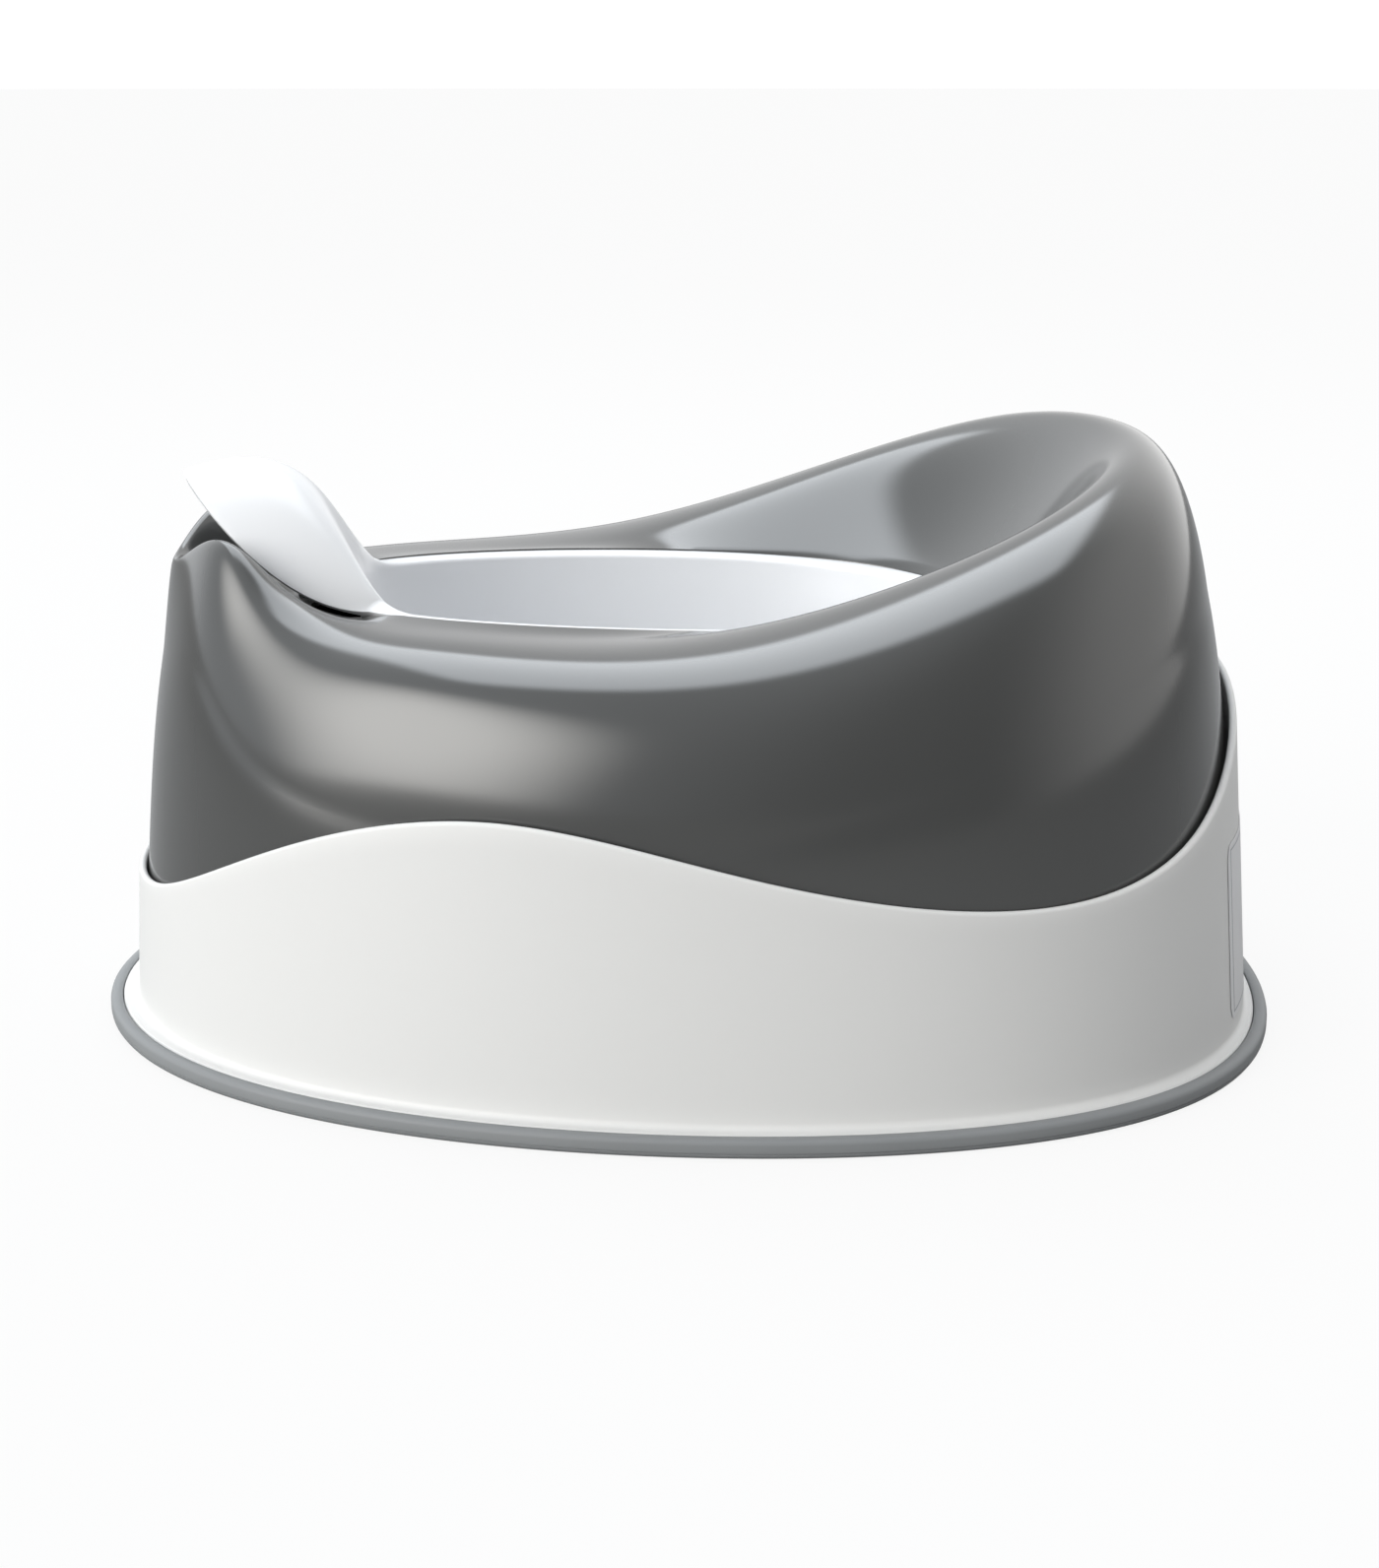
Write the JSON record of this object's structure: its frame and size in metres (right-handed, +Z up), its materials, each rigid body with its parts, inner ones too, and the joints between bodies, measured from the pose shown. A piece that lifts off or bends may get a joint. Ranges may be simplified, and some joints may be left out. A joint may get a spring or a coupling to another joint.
{
  "type": "potty training chair",
  "caption": "Low child's potty chair: lift-out inner pot with splash guard in a glossy seat shell with backrest, on a satin base skirt with a soft grip rim.",
  "frame": {"origin": "on the floor under the middle of the chair's outline", "axes": "+Z up, +X towards the backrest (rear), -X towards the splash guard (front); the chair is the same on both sides of Y = 0 apart from the label"},
  "size_m": [0.36, 0.3104, 0.1743],
  "materials": {
    "white_gloss": "glossy moulded polypropylene",
    "grey_gloss": "high-gloss moulded plastic, cool grey",
    "white_satin": "satin moulded plastic",
    "grey_rubber": "matt soft rubber edge",
    "zinc": "zinc plated",
    "label_film": "blank matt film label"
  },
  "bodies": {
    "stand": {"seat_shell": "grey_gloss", "base_skirt": "white_satin", "grip_rim": "grey_rubber", "rear_label": "label_film", "base_screw_1": "zinc", "base_screw_2": "zinc", "base_screw_3": "zinc", "base_screw_4": "zinc"},
    "pot": {"inner_pot": "white_gloss"}
  },
  "joints": [
    {"name": "pot_lift", "type": "slide", "parent": "stand", "child": "pot", "axis": [0, 0, 1], "range_m": [0, 0.16]}
  ]
}
